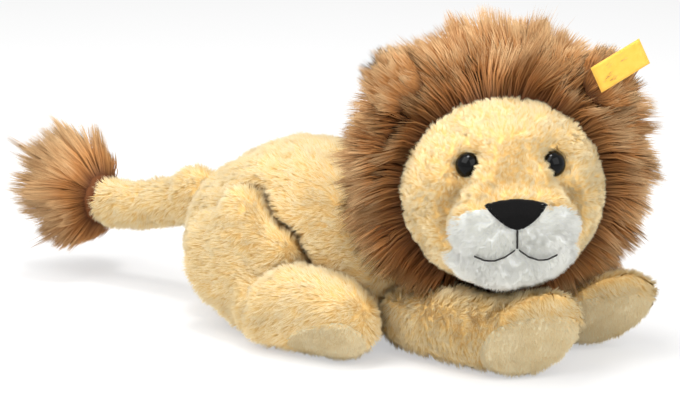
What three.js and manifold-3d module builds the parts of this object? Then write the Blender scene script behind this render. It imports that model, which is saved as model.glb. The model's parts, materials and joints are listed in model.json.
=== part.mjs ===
// Plush lion lying on its belly, with its head turned to its right over the front paws.
// Millimetres. +X runs from the rump to the front paws, +Y to the lion's left and +Z up.
// The origin lies on the flat face under the belly.
import * as THREE from "three";
import { mergeVertices } from "three/addons/utils/BufferGeometryUtils.js";
import Module from "manifold-3d";

const wasm = await Module();
wasm.setup();

// Sewing and stuffing
const coverThickness = 3; // plush cloth with its pile pressed down
const seamGap = 0.3; // between pieces that are sewn face to face
const hindLegGap = 1.15; // between a hind leg and the hollow that it lies in
const frontLegGap = 1;
const sliver = 0.05; // facets that stand out by less are merged
const restingCut = 0.5; // how deep the table flattens what lies on it

// How finely a form is drawn: its cover, and the filling inside it
const fine = { sides: 16, ballSides: 20, stepShare: 1, caps: 3 };
const coarse = { sides: 12, ballSides: 12, stepShare: 0.5, caps: 2 };
const cutOverrun = 400; // reach of the blocks that trim a form

// Torso
const torsoLength = 117; // between the first and last rib of the form
const torsoRear = 74; // from the origin back to the first rib
const torsoWidth = 116;
const torsoHeight = 109;
const rumpRound = 30;
const chestRound = 22;
const torsoShares = [
  { along: 0, width: 0.76, height: 0.82 },
  { along: 0.22, width: 0.96, height: 0.97 },
  { along: 0.45, width: 1, height: 1 },
  { along: 0.72, width: 0.9, height: 0.95 },
  { along: 1, width: 0.68, height: 0.76 },
];

// Hind legs: a thigh against the torso and a foot lying beside it
const thighLength = 38;
const thighRear = 52;
const thighOut = 50;
const thighWidth = 44;
const thighHeight = 92;
const thighRound = 24;
const thighShares = [
  { along: 0, width: 0.78, height: 0.68, lift: 0.13 },
  { along: 0.45, width: 1, height: 1, lift: 0 },
  { along: 1, width: 0.86, height: 0.76, lift: 0 },
];
const footLength = 56;
const footRear = 12;
const footOut = 62;
const footWidth = 44;
const footHeight = 52;
const heelRound = 17;
const toeRound = 19;
const footShares = [
  { along: 0, width: 0.92, height: 0.88, lift: 0 },
  { along: 0.5, width: 1, height: 1, lift: 0 },
  { along: 1, width: 0.94, height: 0.9, lift: 0 },
];
const hipRear = 76; // the seam at the rear edge of the thigh, where the leg opens outward
const hipOut = 48;
const hindSoleForward = 40; // a point on the seam of the sole
const hindSoleOut = 73;
const hindSoleUp = 13.5;
const hindSoleTurn = 70; // degrees, the way it faces
const hindSoleTilt = -40;

// Front legs
const shoulderForward = 60;
const shoulderOut = 24;
const shoulderSeamRear = 19; // from the first rib to the seam that the leg swings on
const shoulderSeamOut = 38;
const legWidth = 47;
const legHeight = 45;
const elbowRound = 19;
const frontLegShares = [
  { along: 0, aside: 0, width: 0.84, height: 0.9 },
  { along: 0.3, aside: 0.45, width: 1, height: 1 },
  { along: 0.66, aside: 0.8, width: 0.98, height: 1 },
];
const rightLegReach = 87; // from the shoulder to the middle of the sole
const rightLegOut = 34;
const rightSoleOut = 34;
const leftLegReach = 94;
const leftLegOut = 43;
const leftSoleOut = 33;
const frontSoleUp = 26;
const frontSoleTurn = -38; // degrees, the way the soles face
const rightSoleTilt = -13;
const leftSoleTilt = -26;
const frontSoleRoll = 35;
const frontSoleLength = 64;
const frontSoleWidth = 53;
const frontSoleCrown = 4;
const frontSeamUp = 12; // from the middle of the paw's end up to the top of its sole
const frontSeamOut = 3.5; // and out on its crown
const frontSeamLean = 18; // degrees that the seam faces further down than the paw's end

// Tail
const tailRear = 108; // the middle of the ball that the rump's seam holds
const tailRootUp = 62;
const tailLength = 74;
const tailDroop = 13;
const tailBallDiameter = 38;
const tailRootDiameter = 33;
const tailEndDiameter = 31;
const tailShares = [
  { along: 0, droop: 0, girth: 1 },
  { along: 0.4, droop: 0.72, girth: 0.5 },
  { along: 0.75, droop: 1, girth: 0.1 },
  { along: 1, droop: 0.9, girth: 0 },
];
const tuftLength = 72; // beyond the end of the tail's cover
const tuftWidth = 66;
const tuftHeight = 71;
const tuftRise = 5; // its middle over the end of the tail
const tuftOverlap = 6; // how far the tuft's cloth reaches over the tail's end
const tuftShares = [
  { along: 0, size: 0.55 },
  { along: 0.28, size: 0.8 },
  { along: 0.55, size: 1 },
  { along: 0.85, size: 0.62 },
];
const tuftRootRound = 5;
const tuftTipRound = 10;
const tuftLocks = 9;
const tuftLockShare = 0.06;

// Neck: a stuffed ball that is part of the head and sits in the chest
const neckForward = 60;
const neckLeft = 0;
const neckUp = 66;
const neckBallDiameter = 46;
const neckMouthDepth = 19; // from the middle of the ball to its open mouth
const neckRoom = 13; // free space between the head and the chest
const seamCord = 1.6; // thickness of the cord that gathers a seam
const headTurnRange = 12; // degrees to each side

// Head, in its own frame: +X out of the face, +Y to the lion's left ear, +Z up
const headForward = 108;
const headRight = 8;
const headUp = 95;
const headTurn = -51; // degrees from the torso's heading
const headWidth = 114;
const headHeight = 107;
const headDepth = 102;
const headRibShares = [
  { along: -0.3, width: 0.8, height: 0.82 },
  { along: -0.1, width: 0.97, height: 0.98 },
  { along: 0.1, width: 1, height: 1 },
  { along: 0.3, width: 0.86, height: 0.86 },
];
const headRoundShare = 0.2; // of the head's depth, at the face and at the nape
const snoutWidth = 84;
const snoutHeight = 68;
const snoutForward = 64;
const snoutDepth = 60;
const snoutDown = 15;
const snoutRibShares = [
  { along: -0.5, width: 0.7, height: 0.8 },
  { along: -0.1, width: 1, height: 1 },
  { along: 0.2, width: 0.86, height: 0.86 },
];
const snoutRoundShare = 0.3; // of the snout's depth
const muzzleSeamForward = 57; // on the seam between golden and white cloth
const muzzleSeamUp = 1;
const muzzleSeamTilt = -37; // degrees
const noseWidth = 33;
const noseHeight = 14.5;
const noseThick = 2.4;
const noseUp = 7.5; // its upper edge
const eyeDiameter = 14;
const eyeProud = 5;
const eyeForward = 41;
const eyeOut = 26;
const eyeUp = 24;
const eyeTurn = 32; // degrees away from straight ahead
const eyeTilt = 22;
const eyeSink = 1.5; // of its flat back into the cloth
const shankDiameter = 4.5;
const shankLength = 11;
const washerDiameter = 15;
const washerThick = 1.6;
const stitchWidth = 1.2;
const stitchProud = 1;
const philtrumLength = 10;
const smileWidth = 22;
const smileDrop = 7;
const smileRise = 3;
const earWidth = 34;
const earHeight = 30;
const earThick = 11;
const earForward = 4;
const earOut = 54;
const earUp = 56;
const labelLength = 34;
const labelWidth = 15;
const labelThick = 1;
const labelOut = 64; // its middle
const labelUp = 69;
const labelTilt = 28; // degrees above level

// Mane
const maneWidth = 162;
const maneHeight = 147;
const maneRise = 13; // its middle over the head's
const maneDepth = 68;
const maneFront = 6; // how far it reaches forward of the head's middle
const maneParting = 30; // from the head's middle back to the seam across the mane
const maneShares = [
  { along: 0, size: 0.5 },
  { along: 0.22, size: 0.78 },
  { along: 0.5, size: 0.94 },
  { along: 0.8, size: 1 },
  { along: 1, size: 0.9 },
];
const maneNapeRound = 8;
const maneBrowRound = 4;
const maneLocks = 14;
const maneLockShare = 0.035;
const maneBackRoom = 13; // between the mane and the torso
const maneLegRoom = 3; // between the mane and the front legs
const maneFootRoom = 12; // between the mane and the hind feet
const chinClearance = 2; // between the chin and the paw that it rests over

const RIGHT = -1;
const LEFT = 1;
const sideNames = { [RIGHT]: "right", [LEFT]: "left" };
const degrees = THREE.MathUtils.degToRad;
const vector = (x, y, z) => new THREE.Vector3(x, y, z);
const heading = (turn, tilt = 0, roll = 0) =>
  new THREE.Matrix4().makeRotationFromEuler(
    new THREE.Euler(degrees(roll), degrees(-tilt), degrees(turn), "ZYX"),
  );

// A rib of a form: a ring whose plane faces a heading, with its two half axes.
function rib(at, width, height, turn = 0, tilt = 0, roll = 0) {
  const facing = heading(turn, tilt, roll);
  return {
    at,
    across: vector(0, width / 2, 0).applyMatrix4(facing),
    up: vector(0, 0, height / 2).applyMatrix4(facing),
  };
}

// A stuffed form: a smooth skin over its ribs, rounded or flat at each end.
// grow moves the whole skin out, or in where it is negative. locks ripple the ribs.
function stuffed(ribs, { facets, steps, rounds, grow = 0, locks = 0, lockShare = 0 }) {
  const { sides, caps } = facets;
  const last = Math.ceil(steps * facets.stepShare);
  const smooth = (key) =>
    new THREE.CatmullRomCurve3(ribs.map((r) => r[key]), false, "catmullrom", 1 / 2);
  const [centres, acrosses, ups] = ["at", "across", "up"].map(smooth);
  const longer = (v) => v.clone().setLength(v.length() + grow);
  const rings = Array.from({ length: last + 1 }, (_, i) => ({
    at: centres.getPoint(i / last),
    across: longer(acrosses.getPoint(i / last)),
    up: longer(ups.getPoint(i / last)),
  }));
  const outward = (ring, sign) =>
    ring.across.clone().cross(ring.up).normalize().multiplyScalar(sign);
  const capRings = (ring, sign, length) =>
    Array.from({ length: caps - 1 }, (_, k) => {
      const angle = ((k + 1) / caps) * (Math.PI / 2);
      return {
        at: ring.at.clone().addScaledVector(outward(ring, sign), length * Math.sin(angle)),
        across: ring.across.clone().multiplyScalar(Math.cos(angle)),
        up: ring.up.clone().multiplyScalar(Math.cos(angle)),
      };
    });
  const ends = [
    { ring: rings[0], sign: -1, length: rounds[0] ? rounds[0] + grow : 0 },
    { ring: rings[last], sign: 1, length: rounds[1] ? rounds[1] + grow : 0 },
  ];
  const [startCap, endCap] = ends.map(({ ring, sign, length }) =>
    length > 0 ? capRings(ring, sign, length) : [],
  );
  const poles = ends.map(({ ring, sign, length }) =>
    ring.at.clone().addScaledVector(outward(ring, sign), Math.max(length, 0)),
  );
  const all = [...startCap.reverse(), ...rings, ...endCap];
  const points = all.flatMap((ring) =>
    Array.from({ length: sides }, (_, j) => {
      const angle = (j / sides) * 2 * Math.PI;
      const ripple = 1 + lockShare * Math.cos(locks * angle);
      return ring.at
        .clone()
        .addScaledVector(ring.across, Math.cos(angle) * ripple)
        .addScaledVector(ring.up, Math.sin(angle) * ripple);
    }),
  );
  const faces = [];
  const [start, end] = [points.length, points.length + 1];
  const lastRow = (all.length - 1) * sides;
  for (let j = 0; j < sides; j++) {
    const next = (j + 1) % sides;
    faces.push(start, next, j, end, lastRow + j, lastRow + next);
    for (let row = 0; row < lastRow; row += sides) {
      const [a, b] = [row + j, row + next];
      faces.push(a, b, a + sides, b, b + sides, a + sides);
    }
  }
  return new THREE.BufferGeometry().setFromPoints([...points, ...poles]).setIndex(faces);
}

// A solid from a three.js geometry, placed by a matrix.
function solid(geometry, matrix = new THREE.Matrix4()) {
  const placed = geometry.clone().applyMatrix4(matrix);
  placed.deleteAttribute("normal");
  placed.deleteAttribute("uv");
  const merged = mergeVertices(placed);
  return new wasm.Manifold(
    new wasm.Mesh({
      numProp: 3,
      vertProperties: merged.attributes.position.array,
      triVerts: new Uint32Array(merged.index.array),
    }),
  );
}

const join = (...solids) => solids.reduce((all, one) => all.add(one));
const cut = (whole, ...cutters) => cutters.reduce((left, one) => left.subtract(one), whole);

// Everything beyond a plane that faces a heading.
function beyond(at, turn, tilt) {
  const block = new THREE.BoxGeometry(cutOverrun, cutOverrun, cutOverrun);
  block.translate(cutOverrun / 2, 0, 0);
  return solid(block, heading(turn, tilt).setPosition(at));
}
const below = (height) => beyond(vector(0, 0, height), 0, -90);

// A ball, and a socket that stands clear of it with its facets too.
const ball = (at, radius, { ballSides } = fine) =>
  solid(new THREE.SphereGeometry(radius, ballSides, ballSides / 2).translate(...at));
const socket = (at, radius) =>
  ball(at, (radius + seamGap) / Math.cos(Math.PI / fine.ballSides) ** 2);

// A ring of cord round an axis that faces a heading.
const cordRing = (at, radius, facing) =>
  solid(
    new THREE.TorusGeometry(radius, seamCord / 2, 5, coarse.sides + fine.sides).rotateY(Math.PI / 2),
    facing.clone().setPosition(at),
  );

// Torso
const torsoRibs = torsoShares.map(({ along, width, height }) =>
  rib(
    vector(along * torsoLength - torsoRear, 0, (height * torsoHeight) / 2 - restingCut),
    width * torsoWidth,
    height * torsoHeight,
  ),
);
const torsoForm = (grow, facets = fine) =>
  solid(stuffed(torsoRibs, { facets, steps: 6, rounds: [rumpRound, chestRound], grow }));

// Hind legs
const lyingRibs = (shares, { length, rear, out, width, height }, side) =>
  shares.map((share) =>
    rib(
      vector(
        share.along * length - rear,
        side * out,
        (share.height / 2 + share.lift) * height - restingCut,
      ),
      share.width * width,
      share.height * height,
    ),
  );
const thighSize = {
  length: thighLength,
  rear: thighRear,
  out: thighOut,
  width: thighWidth,
  height: thighHeight,
};
const footSize = {
  length: footLength,
  rear: footRear,
  out: footOut,
  width: footWidth,
  height: footHeight,
};
function hindLegForm(side, grow, facets = fine) {
  const thigh = stuffed(lyingRibs(thighShares, thighSize, side), {
    facets,
    steps: 3,
    rounds: [thighRound, thighRound],
    grow,
  });
  const foot = stuffed(lyingRibs(footShares, footSize, side), {
    facets,
    steps: 3,
    rounds: [heelRound, toeRound],
    grow,
  });
  return join(solid(thigh), solid(foot));
}
const hip = (side) => vector(-hipRear, side * hipOut, 0);

// Front legs
const frontSole = {
  [RIGHT]: { reach: rightLegReach, legOut: rightLegOut, out: rightSoleOut, tilt: rightSoleTilt },
  [LEFT]: { reach: leftLegReach, legOut: leftLegOut, out: leftSoleOut, tilt: leftSoleTilt },
};
const shoulder = (side) => vector(shoulderForward - shoulderSeamRear, side * shoulderSeamOut, 0);
const frontSoleMiddle = (side) =>
  vector(shoulderForward + frontSole[side].reach, side * frontSole[side].out, frontSoleUp);
function frontLegForm(side, grow, facets = fine) {
  const { reach, legOut } = frontSole[side];
  const ribs = frontLegShares.map(({ along, aside, width, height }) =>
    rib(
      vector(
        shoulderForward + along * reach,
        side * (shoulderOut + aside * (legOut - shoulderOut)),
        (height * legHeight) / 2 - restingCut,
      ),
      width * legWidth,
      height * legHeight,
    ),
  );
  const paw = rib(
    frontSoleMiddle(side),
    frontSoleLength,
    frontSoleWidth,
    frontSoleTurn,
    frontSole[side].tilt,
    frontSoleRoll,
  );
  const rounds = [elbowRound, frontSoleCrown];
  return solid(stuffed([...ribs, paw], { facets, steps: 4, rounds, grow }));
}

// Where the seam of a foot's sole lies and which way the sole faces.
const soleSeam = {
  hind: (side) => [
    vector(hindSoleForward, side * hindSoleOut, hindSoleUp),
    side * hindSoleTurn,
    hindSoleTilt,
  ],
  front: (side) => {
    const { tilt } = frontSole[side];
    const top = vector(frontSeamOut, 0, frontSeamUp).applyMatrix4(heading(frontSoleTurn, tilt));
    return [top.add(frontSoleMiddle(side)), frontSoleTurn, tilt - frontSeamLean];
  },
};

// Tail: a ball in the rump's socket, a tube that droops and the tuft's stem.
const tailRoot = vector(-tailRear, 0, tailRootUp);
const tailGirth = (share) => tailEndDiameter + share * (tailRootDiameter - tailEndDiameter);
const tailRibs = tailShares.map(({ along, droop, girth }) =>
  rib(
    vector(-along * tailLength, 0, -droop * tailDroop).add(tailRoot),
    tailGirth(girth),
    tailGirth(girth),
    180,
  ),
);
const tailForm = (grow, facets = fine) =>
  join(
    ball(tailRoot, tailBallDiameter / 2 + grow, facets),
    solid(stuffed(tailRibs, { facets, steps: 4, rounds: [0, 0], grow })),
  );
const tuftRibs = tuftShares.map(({ along, size }) =>
  rib(
    vector(
      tuftOverlap - tailLength - along * (tuftLength + tuftOverlap - tuftTipRound),
      0,
      size * tuftRise - tailDroop,
    ).add(tailRoot),
    size * tuftWidth,
    size * tuftHeight,
    180,
  ),
);
const tuftForm = solid(
  stuffed(tuftRibs, {
    facets: { ...fine, sides: 2 * tuftLocks },
    steps: 4,
    rounds: [tuftRootRound, tuftTipRound],
    locks: tuftLocks,
    lockShare: tuftLockShare,
  }),
);

// Head
const headMiddle = vector(headForward, -headRight, headUp);
const headMatrix = heading(headTurn).setPosition(headMiddle);
const inHead = (x, y, z) => vector(x, y, z).applyMatrix4(headMatrix);
const faceRibs = (shares, width, height, depth, middle) =>
  shares.map((share) =>
    rib(vector(share.along * depth, 0, 0).add(middle), share.width * width, share.height * height),
  );
const headRibs = faceRibs(headRibShares, headWidth, headHeight, headDepth, vector(0, 0, 0));
const headRound = headRoundShare * headDepth;
const headBall = (grow, facets = fine) =>
  solid(stuffed(headRibs, { facets, steps: 5, rounds: [headRound, headRound], grow }), headMatrix);
const snoutRound = snoutRoundShare * snoutDepth;
const snoutMiddle = snoutForward - snoutRound - snoutRibShares.at(-1).along * snoutDepth;
const snoutRibs = faceRibs(
  snoutRibShares,
  snoutWidth,
  snoutHeight,
  snoutDepth,
  vector(snoutMiddle, 0, -snoutDown),
);
const snoutForm = (grow, facets = fine) =>
  solid(stuffed(snoutRibs, { facets, steps: 3, rounds: [0, snoutRound], grow }), headMatrix);
const headForm = (grow, facets) => join(headBall(grow, facets), snoutForm(grow, facets));
const aheadOfMuzzleSeam = (back) => {
  const inset = vector(-back, 0, 0).applyMatrix4(heading(0, muzzleSeamTilt));
  const at = inHead(muzzleSeamForward, 0, muzzleSeamUp);
  return beyond(at.add(inset.applyMatrix4(heading(headTurn))), headTurn, muzzleSeamTilt);
};

// Neck, and what a solid sweeps as the head turns on it
const neckMiddle = vector(neckForward, neckLeft, neckUp);
const neckWay = neckMiddle.clone().sub(headMiddle).normalize();
const neckTurn = THREE.MathUtils.radToDeg(Math.atan2(neckWay.y, neckWay.x));
const neckTilt = THREE.MathUtils.radToDeg(Math.asin(neckWay.z));
const neckMouth = beyond(
  neckMiddle.clone().addScaledVector(neckWay, neckMouthDepth),
  neckTurn,
  neckTilt,
);
const neckSeamSweep = neckBallDiameter * Math.sin(degrees(headTurnRange)) / 2 + 2 * seamCord;
const neckSeamRoom = cut(
  ball(neckMiddle, neckBallDiameter / 2 + seamCord + 3 * seamGap),
  beyond(neckMiddle.clone().addScaledVector(neckWay, neckSeamSweep), neckTurn, neckTilt),
);
const turned = (build) =>
  join(
    ...[-1, -1 / 2, 0, 1 / 2, 1].map((share) => {
      const turn = new THREE.Matrix4()
        .makeTranslation(...neckMiddle)
        .multiply(heading(share * headTurnRange))
        .multiply(new THREE.Matrix4().makeTranslation(...neckMiddle.clone().negate()));
      return build.transform(turn.elements);
    }),
  );

// What is drawn on the face's plane, seen from ahead, and pressed on the snout.
function onSnout(shape, thick) {
  const bar = new THREE.ExtrudeGeometry(shape, {
    depth: 2 * snoutForward,
    bevelEnabled: false,
    curveSegments: 4,
  }).translate(0, 0, snoutMiddle);
  const facing = new THREE.Matrix4().makeBasis(vector(0, 1, 0), vector(0, 0, 1), vector(1, 0, 0));
  const ahead = solid(bar.applyMatrix4(facing), headMatrix);
  return cut(ahead.intersect(snoutForm(seamGap + thick)), snoutForm(seamGap));
}

const noseTip = noseUp - noseHeight;
function noseShape() {
  const corner = noseUp - noseHeight / 5;
  const shape = new THREE.Shape();
  shape.moveTo(-noseWidth / 2, corner);
  shape.quadraticCurveTo(-noseWidth / 6, noseTip, 0, noseTip);
  shape.quadraticCurveTo(noseWidth / 6, noseTip, noseWidth / 2, corner);
  shape.quadraticCurveTo(0, 2 * noseUp - corner, -noseWidth / 2, corner);
  return shape;
}
const philtrumTop = noseTip - seamGap;
const philtrumEnd = philtrumTop - philtrumLength;
function philtrumShape() {
  const shape = new THREE.Shape();
  shape.moveTo(-stitchWidth / 2, philtrumEnd);
  shape.lineTo(stitchWidth / 2, philtrumEnd);
  shape.lineTo(stitchWidth / 2, philtrumTop);
  shape.lineTo(-stitchWidth / 2, philtrumTop);
  return shape;
}

// One half of the smile: a thin band that dips beside the philtrum and rises at its end.
function smileShape(side) {
  const [inner, outer] = [side * (stitchWidth / 2 + seamGap), side * smileWidth];
  const [middle, end] = [(inner + outer) / 2, philtrumEnd - smileDrop + smileRise];
  const dip = philtrumEnd - smileDrop - smileRise;
  const shape = new THREE.Shape();
  shape.moveTo(inner, philtrumEnd);
  shape.quadraticCurveTo(middle, dip, outer, end);
  shape.lineTo(outer, end - stitchWidth);
  shape.quadraticCurveTo(middle, dip - stitchWidth, inner, philtrumEnd - stitchWidth);
  return shape;
}

// Eyes: a dome on a shank, locked inside the head's cover by a washer.
const eyeMatrix = (side) =>
  headMatrix
    .clone()
    .multiply(heading(side * eyeTurn, eyeTilt).setPosition(eyeForward, side * eyeOut, eyeUp));
const eyeTurned = (side, points, segments = 14) =>
  solid(
    new THREE.LatheGeometry(points.map(([r, x]) => new THREE.Vector2(r, x)), segments).rotateZ(
      degrees(-90),
    ),
    eyeMatrix(side),
  );
const domePoints = (clearance) =>
  Array.from({ length: 5 }, (_, i) => {
    const angle = (i / 4) * (Math.PI / 2);
    return [
      i < 4 ? (eyeDiameter / 2 + clearance) * Math.cos(angle) : 0,
      (eyeProud + eyeSink + clearance) * Math.sin(angle) - eyeSink,
    ];
  });
const eyeForm = (side, clearance) =>
  eyeTurned(side, [
    [0, -shankLength - clearance],
    [shankDiameter / 2 + clearance, -shankLength - clearance],
    [shankDiameter / 2 + clearance, -eyeSink - clearance],
    [eyeDiameter / 2 + clearance, -eyeSink - clearance],
    ...domePoints(clearance),
  ]);
const washerFront = -coverThickness - 2 * seamGap - eyeSink;
const washerForm = (side, clearance) =>
  eyeTurned(side, [
    [0, washerFront - washerThick - clearance],
    [washerDiameter / 2 + clearance, washerFront - washerThick - clearance],
    [washerDiameter / 2 + clearance, washerFront + clearance],
    [0, washerFront + clearance],
  ]);

// Ears: flat padded ovals that stand out of the mane over the crown.
function earForm(side, grow) {
  const ear = rib(vector(0, 0, 0), earWidth, earHeight);
  const rounds = [earThick / 2, earThick / 2];
  const form = stuffed([ear, ear], { facets: coarse, steps: 1, rounds, grow });
  const lean = side * (Math.atan2(earUp, earOut) - Math.PI / 2);
  const placed = new THREE.Matrix4().makeRotationX(lean).setPosition(earForward, side * earOut, earUp);
  return solid(form, headMatrix.clone().multiply(placed));
}
const labelPlace = new THREE.Matrix4()
  .makeRotationX(degrees(labelTilt))
  .setPosition(earForward + earThick / 2 + seamGap + labelThick / 2, labelOut, labelUp);
const labelForm = solid(
  new THREE.BoxGeometry(labelThick, labelLength, labelWidth),
  headMatrix.clone().multiply(labelPlace),
);

// Mane: a deep collar of long pile round the face, and its panel over the nape.
const maneRibs = maneShares.map(({ along, size }) =>
  rib(vector(maneFront - (1 - along) * maneDepth, 0, maneRise), size * maneWidth, size * maneHeight),
);
const maneForm = solid(
  stuffed(maneRibs, {
    facets: { ...coarse, stepShare: 1, sides: 2 * maneLocks },
    steps: 3,
    rounds: [maneNapeRound, maneBrowRound],
    locks: maneLocks,
    lockShare: maneLockShare,
  }),
  headMatrix,
);
const chinRoom = (grow) => turned(headForm(chinClearance + grow, coarse));
const behindParting = (shift) => beyond(inHead(shift - maneParting, 0, 0), headTurn + 180, 0);

const materials = {
  golden: new THREE.MeshStandardMaterial({ color: 0xe6bd6e, roughness: 0.95, metalness: 0 }),
  filling: new THREE.MeshStandardMaterial({ color: 0xf4f3ee, roughness: 1, metalness: 0 }),
  white: new THREE.MeshStandardMaterial({ color: 0xeef0ee, roughness: 0.95, metalness: 0 }),
  brown: new THREE.MeshStandardMaterial({ color: 0xa9713f, roughness: 0.8, metalness: 0 }),
  cream: new THREE.MeshStandardMaterial({ color: 0xe4d3ac, roughness: 0.95, metalness: 0 }),
  nose: new THREE.MeshStandardMaterial({ color: 0x0d0d0e, roughness: 0.7, metalness: 0 }),
  thread: new THREE.MeshStandardMaterial({ color: 0x15130f, roughness: 0.6, metalness: 0 }),
  eye: new THREE.MeshStandardMaterial({ color: 0x0c0c0c, roughness: 0.12, metalness: 0 }),
  washer: new THREE.MeshStandardMaterial({ color: 0xe9e9e6, roughness: 0.5, metalness: 0 }),
  label: new THREE.MeshStandardMaterial({ color: 0xf2b035, roughness: 0.7, metalness: 0 }),
};

const lion = new THREE.Group();

function partAt(at, turn = 0) {
  const group = new THREE.Group();
  group.position.copy(at);
  group.rotation.z = degrees(turn);
  lion.add(group);
  return group;
}

// Adds a solid to a group as a named mesh, in the group's own frame.
function sew(group, name, material, made) {
  const { vertProperties, triVerts } = made.asOriginal().simplify(sliver).getMesh();
  const geometry = new THREE.BufferGeometry()
    .setAttribute("position", new THREE.BufferAttribute(new Float32Array(vertProperties), 3))
    .setIndex(new THREE.BufferAttribute(triVerts, 1));
  group.updateWorldMatrix(true, false);
  geometry.applyMatrix4(group.matrixWorld.clone().invert());
  geometry.computeVertexNormals();
  const mesh = new THREE.Mesh(geometry, materials[material]);
  mesh.name = name;
  group.add(mesh);
}

const bothLegs = (form, grow, facets) => [RIGHT, LEFT].map((side) => form(side, grow, facets));

// Sews a padded body part: its cover, open wherever a cutter says, and the filling in it.
function pad(group, name, shape, ...openings) {
  const inside = (inset) => shape(-inset, coarse);
  sew(group, `${name}_cover`, "golden", cut(shape(0), inside(coverThickness), ...openings));
  sew(group, `${name}_filling`, "filling", cut(inside(coverThickness + seamGap), ...openings));
}

function sewTorso() {
  const shape = (grow, facets) =>
    cut(
      torsoForm(grow, facets),
      ...bothLegs(hindLegForm, hindLegGap - 2 * grow, facets),
      ...bothLegs(frontLegForm, frontLegGap - 2 * grow, facets),
      headBall(neckRoom - grow, coarse),
      below(-grow),
    );
  pad(
    partAt(vector(0, 0, 0)),
    "torso",
    shape,
    socket(tailRoot, tailBallDiameter / 2),
    socket(neckMiddle, neckBallDiameter / 2),
    neckSeamRoom,
  );
}

function sewLeg(name, side, form, at, seam) {
  const group = partAt(at);
  const shape = (grow, facets) =>
    cut(form(side, grow, facets), below(-grow), chinRoom(-grow));
  pad(group, name, shape, beyond(...seam));
  const [middle, ...facing] = seam;
  const clear = vector(seamGap, 0, 0).applyMatrix4(heading(...facing)).add(middle);
  sew(group, `${name}_sole`, "cream", shape(0).intersect(beyond(clear, ...facing)));
}

function sewTail() {
  const tail = partAt(tailRoot);
  const seamRadius = tailBallDiameter / 2 + seamGap + seamCord / 2;
  sew(tail, "tail_seam", "golden", cordRing(tailRoot, seamRadius, heading(0)));
  const mouth = vector(tailBallDiameter / 2 - coverThickness, 0, 0).add(tailRoot);
  pad(tail, "tail", tailForm, beyond(mouth, 0, 0));
  sew(tail, "tail_tuft", "brown", cut(tuftForm, tailForm(seamGap)));
}

function sewFace(head) {
  sew(head, "nose", "nose", onSnout(noseShape(), noseThick));
  sew(head, "stitch_centre", "thread", onSnout(philtrumShape(), stitchProud));
  for (const side of [RIGHT, LEFT])
    sew(head, `stitch_${sideNames[side]}`, "thread", onSnout(smileShape(side), stitchProud));
}

function sewMane(head) {
  const mane = cut(
    maneForm,
    headForm(seamGap),
    ball(neckMiddle, neckBallDiameter / 2 + neckRoom, coarse),
    torsoForm(maneBackRoom, coarse),
    earForm(RIGHT, seamGap),
    earForm(LEFT, seamGap),
    ...bothLegs(frontLegForm, maneLegRoom, coarse).map(turned),
    ...bothLegs(hindLegForm, maneFootRoom, coarse),
  );
  sew(head, "mane_collar", "brown", cut(mane, behindParting(0)));
  sew(head, "mane_nape", "brown", mane.intersect(behindParting(-seamGap)));
}

function sewHead() {
  const neck = partAt(neckMiddle);
  const neckFacing = heading(neckTurn, neckTilt);
  const seamRadius = neckBallDiameter / 2 + seamGap + seamCord / 2;
  sew(neck, "neck_seam", "golden", cordRing(neckMiddle, seamRadius, neckFacing));

  const head = partAt(neckMiddle, headTurn);
  const sides = [RIGHT, LEFT];
  const shape = (grow, facets) =>
    join(headForm(grow, facets), ball(neckMiddle, neckBallDiameter / 2 + grow, facets));
  const shell = cut(shape(0), shape(-coverThickness, coarse), neckMouth);
  const eyeHoles = sides.map((side) => eyeForm(side, seamGap));
  const washerRooms = sides.map((side) => washerForm(side, seamGap));
  const inside = shape(-coverThickness - seamGap, coarse);
  sew(head, "head_cover", "golden", cut(shell, ...eyeHoles, aheadOfMuzzleSeam(seamGap)));
  sew(head, "muzzle_cover", "white", shell.intersect(aheadOfMuzzleSeam(0)));
  sew(head, "head_filling", "filling", cut(inside, neckMouth, ...eyeHoles, ...washerRooms));
  sides.forEach((side, i) => {
    const name = sideNames[side];
    sew(head, `eye_${name}`, "eye", eyeForm(side, 0));
    sew(head, `eye_washer_${name}`, "washer", cut(washerForm(side, 0), eyeHoles[i]));
    sew(head, `ear_${name}`, "brown", earForm(side, 0));
  });
  sew(head, "label", "label", labelForm);
  sewFace(head);
  sewMane(head);
}

sewTorso();
for (const side of [RIGHT, LEFT]) {
  sewLeg(`hind_leg_${sideNames[side]}`, side, hindLegForm, hip(side), soleSeam.hind(side));
  sewLeg(`front_leg_${sideNames[side]}`, side, frontLegForm, shoulder(side), soleSeam.front(side));
}
sewTail();
sewHead();

export default lion;
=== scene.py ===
# A plush lion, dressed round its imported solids: stuffed skins, combed pile, a sewn face and a bare ribbon.
# Metres, +X from the rump to the front paws, +Y to the lion's left and +Z up.
import json
import math

import bmesh
import bpy
import numpy as np
from mathutils import Matrix, Vector
from mathutils.bvhtree import BVHTree
from mathutils.kdtree import KDTree


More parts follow.
